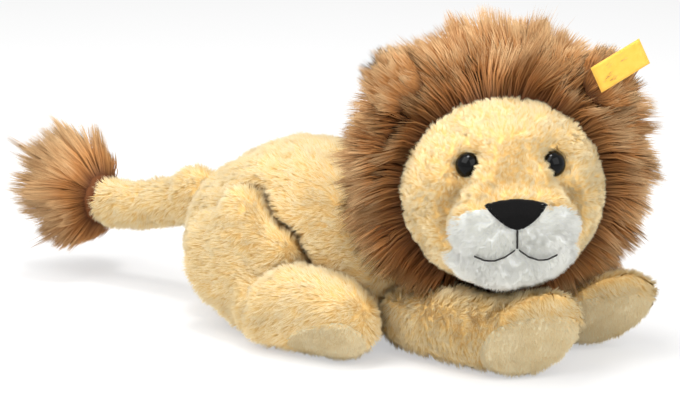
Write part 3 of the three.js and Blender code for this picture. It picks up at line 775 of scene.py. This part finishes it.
def dress_head():
    padded_piece(skins["head"], "head", ["head_cover"])
    muzzle = stuffed_skin(
        "muzzle_skin", ["head_cover", "muzzle_cover", "head_filling"], WHITE_CLOTH, voxel=2.2, inset=2.4,
        shaping=shape_head, beyond=[(MUZZLE_SEAM, MUZZLE_FACING)],
    )
    padded_piece(muzzle, "head", ["muzzle_cover"])
    stuffing(skins["head"], "head_filling", "head")
    nose = np.array(on_head(60, 0, 4))
    eyes = [np.array(EYE_PLACES[side] - eye_facing(side) * (EYE_SINK - EYE_BACK) * MM) for side in SIDES]

    def clear_of_features(places):
        keep = np.ones(len(places))
        for eye in eyes:
            keep *= np.linalg.norm(places - eye, axis=1) > EYE_CLEAR * MM
        seen = seen_from_head(places)
        in_triangle = np.abs(seen[:, 1]) < 3 + 0.9 * (seen[:, 2] + 6)
        over_nose = in_triangle & (seen[:, 2] < 5.5) & (seen[:, 0] > 50)
        return keep * ~over_nose

    combed("face_pile", skins["head"], rooms["head"], away_from(nose), GOLDEN, "head",
           per_mm2=4.2, long=4.0, thick=0.44, lean=0.52, lock=14, hold=0.6, swirl=0.5, crinkle=0.65,
           keep=lambda p: on_face(p) * clear_of_features(p), seed=31)
    combed("muzzle_pile", skins["head"], rooms["head"], away_from(nose), WHITE, "head",
           per_mm2=4.2, long=4.6, thick=0.46, lean=0.45, keep=lambda p: on_muzzle(p) * clear_of_features(p),
           seed=41, lock=26, hold=0.45, swirl=0.4, crinkle=0.4)


PILE_TOP = cad_box[1][2] + 12 * MM  # no lock of the mane stands higher


def reach_tree(nodes):
    bm = merged_nodes(nodes)
    tree = BVHTree.FromBMesh(bm)
    bm.free()
    return tree


def reach(tree, start, way, far=90 * MM):
    """How far a way goes from a start until it has left the solid for good."""
    total, at = 0.0, start
    for _ in range(6):
        hit = tree.ray_cast(at, way, far - total)
        if hit[0] is None:
            break
        total += hit[3] + 0.2 * MM
        at = hit[0] + way * 0.2 * MM
    return total


UNDER_HAIR = 0.22  # the share of hairs that are shorter and darker


def long_pile(name, roots, normals, ways, droop, tree, shortest, longest, thick, material, body,
              seed, lock, hold, lift, gather=0.25, stray=0.15, beyond=1.0, tone=None, most=12000):
    """Long hair that reaches for the outline of a CAD solid, in fine locks that gather into larger
    ones. Lengths and thickness are in millimetres."""
    rng = np.random.default_rng(seed)
    count = len(roots)
    drift = np.stack([waves(roots, 13, seed + 7 + k) for k in range(3)], 1)
    ways = unit(ways + stray * drift + rng.normal(0, 0.1, (count, 3)))
    goal = unit(ways + np.array([0, 0, -1.0]) * droop)
    far = np.array([reach(tree, Vector(r), Vector(w)) for r, w in zip(roots, goal)])
    far = np.clip(far, shortest * MM, longest * MM)
    under = rng.uniform(size=count) < UNDER_HAIR
    length = beyond * far * np.where(under, rng.uniform(0.55, 0.85, count), rng.uniform(0.92, 1.2, count))
    length = length * (1 + 0.08 * waves(roots, 16, seed + 11))
    tips = roots + goal * length[:, None]
    tips, large = clumped(roots, tips, lock * 7, gather, rng)
    stretch = rng.uniform(0.82, 1.18, large.max() + 1)[large]
    tips, group = clumped(roots, roots + (tips - roots) * stretch[:, None], lock, hold, rng)
    start = unit(normals * lift + ways)
    bends = roots + start * (length * 0.5)[:, None]
    tips[:, 2] = np.clip(tips[:, 2], 1.0 * MM, PILE_TOP)
    shades = 0.5 + 0.2 * waves(roots, 20, seed + 1) + rng.normal(0, 0.17, count) - 0.2 * under
    shades += 0.12 * rng.normal(size=group.max() + 1)[group]
    if tone is not None:
        shades += tone
    shades = np.clip(shades, 0, 1)
    thicks = thick * MM * rng.uniform(0.75, 1.25, count)
    order = np.argsort(roots[:, 2], kind="stable")
    parts = np.array_split(order, math.ceil(count / most))
    for i, part in enumerate(parts):
        grow(f"{name}_{i + 1}", LONG_HAIR, roots[part], bends[part], tips[part], normals[part],
             thicks[part], shades[part], material, body)


def mane_flow(seen):
    """How the mane runs at places seen from the head: outwards round the face, then back and down."""
    radial = unit(seen * np.array([0, 1, 1.0]))
    back = np.clip((MANE_EDGE + 6 - seen[:, 0]) / 60, 0, 1)[:, None]
    flow = radial * (1.0 - 0.55 * back) + np.array([0.18, 0, 0]) * (1 - 5.5 * back)
    return unit(flow + np.array([0, 0, -0.6]) * back ** 2) @ np.array(HEAD_FRAME).T


MANE_ROW_HAIRS, MANE_HAIRS, EAR_HAIRS, TUFT_HAIRS = 13000, 34000, 3200, 9000


def dress_mane():
    """The mane's padding, drawn in from its solids, with long hair on it and a first row at the face."""
    rng = np.random.default_rng(51)
    head = skins["head"]
    tree = reach_tree(["mane_collar", "mane_nape", "ear_right", "ear_left"])
    core = stuffed_skin(
        "mane_core", ["mane_collar", "mane_nape"], BROWN_CLOTH, voxel=3.0, rounds=8, inset=9.0
    )
    padded_piece(core, "head", ["mane_collar", "mane_nape"])
    rows = [
        ("mane_row", head, rooms["head"][0], MANE_ROW_HAIRS,
         lambda at: np.abs(at[:, 0] + 5) < 10.5, 24, 46),
        ("mane_pile", core, space.over(core)[0], MANE_HAIRS, lambda at: at[:, 0] < 90, 20, 46),
    ]
    for number, (name, skin, opens, count, kept, shortest, longest) in enumerate(rows):
        seen = seen_from_head(arrays_of(skin)[0])
        weights = kept(seen) * np.clip(opens - 0.1, 0, 0.5)
        roots, normals, _, _ = scattered(skin, count, weights, rng)
        seen = seen_from_head(roots)
        edge = np.hypot(seen[:, 1], seen[:, 2])
        # Painted shade: deeper tones round the face, where the mane meets it, and below it; painted light:
        # paler tones at the lion's left
        tone = -0.3 * np.clip((62 - edge) / 14, 0, 1) * (seen[:, 0] > -15) - 0.2 * (seen[:, 2] < -15)
        tone += 0.4 * np.clip((seen[:, 1] - 15) / 25, 0, 1)
        long_pile(name, roots, normals, mane_flow(seen), droop=0.25, tree=tree, shortest=shortest,
                  longest=longest, thick=0.78, material=BROWN, body="head",
                  seed=52 + number, lock=16, hold=0.5, lift=0.35, tone=tone)


TAIL_ROOT_UP, TAIL_DROOP = 62, 13  # in millimetres
TAIL_END_UP = (TAIL_ROOT_UP - 0.9 * TAIL_DROOP) * MM  # the middle of the tail's end
TUFT_CORE = Vector((10, 15, 15)) * MM  # its half lengths


def dress_tuft():
    rng = np.random.default_rng(61)
    tail_low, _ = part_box("tail_cover")
    core_middle = Vector((tail_low.x - 2 * MM, 0, TAIL_END_UP))
    bm = bmesh.new()
    bmesh.ops.create_icosphere(bm, subdivisions=4, radius=1)
    bmesh.ops.scale(bm, vec=TUFT_CORE, verts=bm.verts)
    bmesh.ops.translate(bm, vec=core_middle, verts=bm.verts)
    core = from_bmesh("tuft_core", bm, BROWN_CLOTH)
    padded_piece(core, "tail", ["tail_tuft"])
    places, _, _ = arrays_of(core)
    weights = (places[:, 0] < core_middle.x + 1 * MM).astype(float)
    roots, normals, _, _ = scattered(core, TUFT_HAIRS, weights, rng)
    ways = unit((roots - np.array(core_middle)) / np.array([1, 1.4, 1.4])) + np.array([-0.6, 0, 0])
    ways = ways * np.array([1, 0.7, 1])
    ways[:, 0] = np.minimum(ways[:, 0], -0.3)
    long_pile("tuft_pile", roots, normals, ways, droop=0.03, tree=reach_tree(["tail_tuft"]), shortest=22,
              longest=80, thick=0.8, material=TUFT, body="tail", seed=62, lock=20,
              hold=0.6, lift=0.2, gather=0.6, stray=0.08, beyond=1.08)


# Face
def turned_profile(name, points, material, matrix, steps=48):
    """A solid of revolution from a profile of radius and height, in millimetres, placed by a matrix."""
    bm = bmesh.new()
    verts = [bm.verts.new((r * MM, 0, z * MM)) for r, z in points]
    edges = [bm.edges.new(pair) for pair in zip(verts, verts[1:])]
    bmesh.ops.spin(bm, geom=verts + edges, cent=(0, 0, 0), axis=(0, 0, 1), angle=math.tau, steps=steps,
                   use_merge=True)
    bmesh.ops.remove_doubles(bm, verts=bm.verts, dist=0.001 * MM)
    bmesh.ops.recalc_face_normals(bm, faces=bm.faces)
    bmesh.ops.transform(bm, matrix=matrix, verts=bm.verts)
    return from_bmesh(name, bm, material)


SHANK_RADIUS, SHANK_END = 2.25, -12.5
WASHER_HOLE, WASHER_RADIUS, WASHER_BACK, WASHER_FRONT = 2.4, 7.5, -7.2, -5.6


def make_eyes():
    glossy = gloss_finish("eye_gloss", "020202", 0.04, 0.16)
    washer = gloss_finish("washer_plastic", "e4e4df", 0.45)
    for side in SIDES:
        out = eye_facing(side)
        sunk = EYE_PLACES[side] - out * EYE_SINK * MM
        place = Matrix.Translation(sunk) @ out.to_track_quat("Z", "Y").to_matrix().to_4x4()
        arc = [(EYE_RADIUS * math.cos(a), EYE_RISE * math.sin(a) + EYE_BACK)
               for a in np.linspace(0, math.pi / 2, 14)]
        shank = [(0, SHANK_END), (SHANK_RADIUS, SHANK_END), (SHANK_RADIUS, EYE_BACK)]
        profile = [*shank, (EYE_FLAT, EYE_BACK), *arc[:-1], (0, EYE_RISE + EYE_BACK)]
        eye = turned_profile(f"eye_{side}_dome", profile, glossy, place)
        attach(eye, "head")
        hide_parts(f"eye_{side}")
        ring = [(WASHER_HOLE, WASHER_BACK), (WASHER_RADIUS, WASHER_BACK), (WASHER_RADIUS, WASHER_FRONT),
                (WASHER_HOLE, WASHER_FRONT), (WASHER_HOLE, WASHER_BACK)]
        lock = turned_profile(f"eye_{side}_lock", ring, washer, place)
        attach(lock, "head")
        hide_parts(f"eye_washer_{side}")


def make_nose():
    finish = Finish(
        "nose_nap", Roughness=0.85, Sheen_Weight=0.12, Sheen_Roughness=0.4, Specular_IOR_Level=0.1
    )
    place = finish.place()
    fine = finish.noise(place, 0.5 * MM)
    colour = finish.mixed(fine, linear("030303"), linear("131212"))
    bump = finish.add("Bump", {"Height": fine, "Strength": 0.6, "Distance": 0.3 * MM})["Normal"]
    velvet = finish.give(Base_Color=colour, Normal=bump)
    nose = stuffed_skin("nose_pad", ["nose"], velvet, voxel=0.7, rounds=4, inset=-0.6)
    padded_piece(nose, "head", ["nose"])


def make_stitches():
    finish = Finish("mouth_thread", Roughness=0.6, Specular_IOR_Level=0.3)
    strands = finish.add("TexWave", {"Vector": finish.place(), "Scale": 900.0}, wave_type="BANDS")["Fac"]
    colour = finish.mixed(strands, linear("0a0908"), linear("2b2724"))
    bump = finish.add("Bump", {"Height": strands, "Strength": 0.4, "Distance": 0.1 * MM})["Normal"]
    thread = finish.give(Base_Color=colour, Normal=bump)
    for node in ("stitch_centre", "stitch_right", "stitch_left"):
        stitch = stuffed_skin(f"{node}_thread", [node], thread, voxel=0.35, rounds=3, inset=0.0)
        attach(stitch, "head")
        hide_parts(node)


def make_ears():
    for number, side in enumerate(SIDES):
        node = f"ear_{side}"
        ear = stuffed_skin(f"ear_{side}_skin", [node], BROWN_CLOTH, voxel=1.6, rounds=5, inset=5.0)
        padded_piece(ear, "head", [node])
        everywhere = np.ones(len(ear.data.vertices))
        roots, normals, _, _ = scattered(ear, EAR_HAIRS, everywhere, np.random.default_rng(71))
        radial = unit(seen_from_head(roots) * np.array([0, 1, 1.0])) @ np.array(HEAD_FRAME).T
        long_pile(f"ear_{side}_pile", roots, normals, radial + normals * 0.2, droop=0.1,
                  tree=reach_tree([node]), shortest=15, longest=26, thick=0.72, material=BROWN,
                  body="head", seed=72 + number, lock=14, hold=0.45, lift=0.3, tone=0.15)


RIBBON_SHORTENED = 0.14  # the share of the solid's length that its free end is drawn in by
RIBBON_LONG_EDGE = 12  # in millimetres: edges longer than this are divided


def make_label():
    finish = Finish("ribbon_weave", Roughness=0.55, Sheen_Weight=0.2, Specular_IOR_Level=0.3)
    place = finish.place()
    warp = finish.add("TexWave", {"Vector": place, "Scale": 1100.0}, wave_type="BANDS",
                      bands_direction="DIAGONAL")["Fac"]
    mottled = warp * 0.4 + finish.noise(place, 4 * MM) * 0.6
    colour = finish.mixed(mottled, linear("f0ab26"), linear("ffd05f"))
    bump = finish.add("Bump", {"Height": warp, "Strength": 0.35, "Distance": 0.08 * MM})["Normal"]
    weave = finish.give(Base_Color=colour, Normal=bump)
    bm = merged_nodes(["label"])
    longest = max(bm.edges, key=lambda e: e.calc_length())
    way = (longest.verts[1].co - longest.verts[0].co).normalized()
    if way.dot(longest.verts[0].co - HEAD_MIDDLE) < 0:
        way = -way
    start = min(v.co.dot(way) for v in bm.verts)
    for vert in bm.verts:
        vert.co -= way * RIBBON_SHORTENED * (vert.co.dot(way) - start)
    long_edges = [e for e in bm.edges if e.calc_length() > RIBBON_LONG_EDGE * MM]
    bmesh.ops.subdivide_edges(bm, edges=long_edges, cuts=8, use_grid_fill=True)
    ribbon = from_bmesh("ribbon", bm, weave)
    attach(ribbon, "head")
    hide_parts("label")


CORD_RADIUS, CORD_RING = 0.9, 14
TAIL_CORD_PLACE = Vector((-108, 0, 61)) * MM
NECK_HAIR = 9.0


def make_tail_seam():
    """The gathering cord, drawn tight round the tail's root under the pile."""
    bm = bmesh.new()
    quarter = Matrix.Rotation(math.pi / 2, 4, "X")
    place = Matrix.Translation((0, CORD_RING * MM, 0)) @ quarter
    bmesh.ops.create_circle(bm, segments=10, radius=CORD_RADIUS * MM, matrix=place @ quarter)
    bmesh.ops.spin(bm, geom=[*bm.verts, *bm.edges], cent=(0, 0, 0), axis=(1, 0, 0), angle=math.tau,
                   steps=48, use_merge=True)
    bmesh.ops.remove_doubles(bm, verts=bm.verts, dist=WELD)
    bmesh.ops.recalc_face_normals(bm, faces=bm.faces)
    bmesh.ops.translate(bm, vec=TAIL_CORD_PLACE, verts=bm.verts)
    cord = from_bmesh("tail_cord", bm, GOLDEN_CLOTH)
    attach(cord, "tail_root")
    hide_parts("tail_seam")


def make_neck_seam():
    """The gathered seam at the neck, with short pile that closes the parting there."""
    cord = stuffed_skin("neck_cord", ["neck_seam"], GOLDEN_CLOTH, voxel=0.8, rounds=2, inset=0.0)
    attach(cord, "neck")
    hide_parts("neck_seam")
    corners = len(cord.data.vertices)
    room = np.ones(corners), np.full(corners, NECK_HAIR * MM)
    combed("neck_pile", cord, room, along(-1, 0, -0.1), GOLDEN, "neck", long=NECK_HAIR,
           lean=0.4, seed=81)


dress_body()
for number, leg in enumerate(LEGS):
    dress_leg(leg, 100 + 10 * number)
dress_head()
dress_mane()
dress_tuft()
make_eyes()
make_nose()
make_stitches()
make_ears()
make_label()
make_tail_seam()
make_neck_seam()


# Stage
FLOOR_SIZE = 6  # in metres
WORLD_LIGHT = 0.62
LAMP_AIM = Vector((0, 0, 0.08))
LAMPS = {  # each lamp's place and width in metres, and its power in watts
    "key_lamp": ((-0.3, -1.0, 1.4), 1.4, 19),
    "fill_lamp": ((1.3, -0.4, 1.0), 1.4, 12),
    "top_lamp": ((-0.05, -0.12, 1.65), 0.4, 11.5),
}


def make_floor():
    finish = Finish("pale_floor", Roughness=0.9, Specular_IOR_Level=0.0, Base_Color=linear("f2f2f2"))
    plain = finish.add("Emission", {"Color": (1, 1, 1), "Strength": 1.0})["Emission"]
    path = finish.add("LightPath")
    seen = path["Is Camera Ray"] + path["Is Glossy Ray"] + path["Is Transmission Ray"]
    mixed = finish.add("MixShader", {0: seen * 0.5, 1: finish.shader["BSDF"], 2: plain})["Shader"]
    output = next(n for n in finish.tree.nodes if n.type == "OUTPUT_MATERIAL")
    finish.tree.links.new(mixed.socket, output.inputs["Surface"])
    bm = bmesh.new()
    bmesh.ops.create_grid(bm, x_segments=1, y_segments=1, size=FLOOR_SIZE)
    floor = from_bmesh("floor", bm, finish.material)


def make_world():
    world = bpy.data.worlds.new("studio")
    bpy.context.scene.world = world
    world.use_nodes = True
    tree = world.node_tree
    tree.nodes.clear()
    path = tree.nodes.new("ShaderNodeLightPath")
    seen = path.outputs["Is Camera Ray"]
    for ray in ("Is Glossy Ray", "Is Transmission Ray"):
        both = tree.nodes.new("ShaderNodeMath")
        tree.links.new(seen, both.inputs[0])
        tree.links.new(path.outputs[ray], both.inputs[1])
        seen = both.outputs[0]
    even, plain = tree.nodes.new("ShaderNodeBackground"), tree.nodes.new("ShaderNodeBackground")
    for background, strength in ((even, WORLD_LIGHT), (plain, 1.0)):
        background.inputs["Strength"].default_value = strength
        background.inputs["Color"].default_value = (1, 1, 1, 1)
    mix, out = tree.nodes.new("ShaderNodeMixShader"), tree.nodes.new("ShaderNodeOutputWorld")
    tree.links.new(seen, mix.inputs[0])
    tree.links.new(even.outputs[0], mix.inputs[1])
    tree.links.new(plain.outputs[0], mix.inputs[2])
    tree.links.new(mix.outputs[0], out.inputs["Surface"])


def lamp(name, place, size, power):
    """A soft square lamp that looks at the lion."""
    light = bpy.data.lights.new(name, "AREA")
    light.size, light.energy = size, power
    lit = bpy.data.objects.new(name, light)
    bpy.context.scene.collection.objects.link(lit)
    lit.location = place
    lit.rotation_euler = (LAMP_AIM - Vector(place)).to_track_quat("-Z", "Y").to_euler()


CAMERA_TARGET = Vector((-30, 37, 60)) * MM
CAMERA_AZIMUTH = math.radians(35)
CAMERA_ELEVATION = math.radians(13)
CAMERA_AWAY = 1.5


def make_camera():
    data = bpy.data.cameras.new("camera")
    data.lens, data.sensor_width = 135, 36
    camera = bpy.data.objects.new("camera", data)
    bpy.context.scene.collection.objects.link(camera)
    back = Vector((
        math.sin(CAMERA_AZIMUTH) * math.cos(CAMERA_ELEVATION),
        -math.cos(CAMERA_AZIMUTH) * math.cos(CAMERA_ELEVATION),
        math.sin(CAMERA_ELEVATION),
    ))
    camera.location = CAMERA_TARGET + back * CAMERA_AWAY
    camera.rotation_euler = (-back).to_track_quat("-Z", "Y").to_euler()
    bpy.context.scene.camera = camera


make_floor()
make_world()
for name, (place, size, power) in LAMPS.items():
    lamp(name, place, size, power)
make_camera()
bpy.context.scene.view_settings.view_transform = "Standard"
